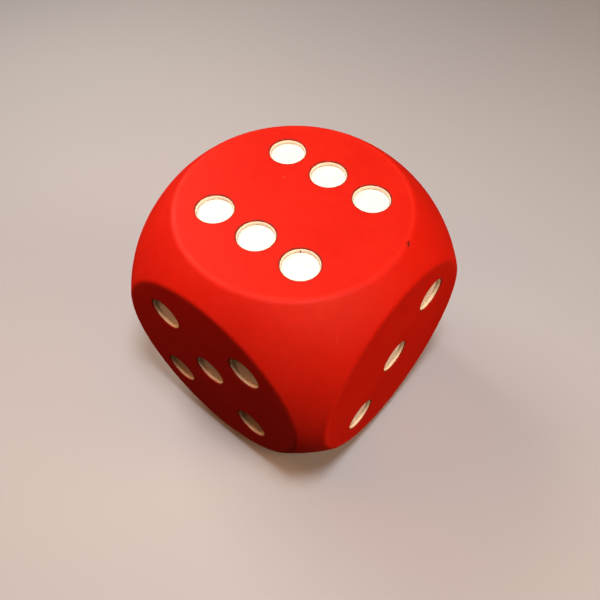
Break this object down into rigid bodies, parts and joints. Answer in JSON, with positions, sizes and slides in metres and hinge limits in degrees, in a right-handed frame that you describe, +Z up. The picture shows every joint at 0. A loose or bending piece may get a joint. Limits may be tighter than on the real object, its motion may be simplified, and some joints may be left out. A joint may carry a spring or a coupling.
{
  "type": "foam play die",
  "caption": "Large play die: a coated foam cube with a rounded, ball-cut body, flat round faces and recessed white pips.",
  "frame": {"origin": "middle of the underside, on the plane of the face with one pip, which the die rests on", "axes": "+Z up out of the face with six pips, -Y out of the face with five, +X out of the face with three; the rows of the six run along X"},
  "size_m": [0.16, 0.16, 0.16],
  "materials": {
    "skin": "matte",
    "foam": "matte",
    "pip_white": "matte"
  },
  "bodies": {
    "root": {"skin": "skin", "foam_core": "foam", "pip_one_1": "pip_white", "pip_two_1": "pip_white", "pip_two_2": "pip_white", "pip_three_1": "pip_white", "pip_three_2": "pip_white", "pip_three_3": "pip_white", "pip_four_1": "pip_white", "pip_four_2": "pip_white", "pip_four_3": "pip_white", "pip_four_4": "pip_white", "pip_five_1": "pip_white", "pip_five_2": "pip_white", "pip_five_3": "pip_white", "pip_five_4": "pip_white", "pip_five_5": "pip_white", "pip_six_1": "pip_white", "pip_six_2": "pip_white", "pip_six_3": "pip_white", "pip_six_4": "pip_white", "pip_six_5": "pip_white", "pip_six_6": "pip_white"}
  },
  "joints": []
}
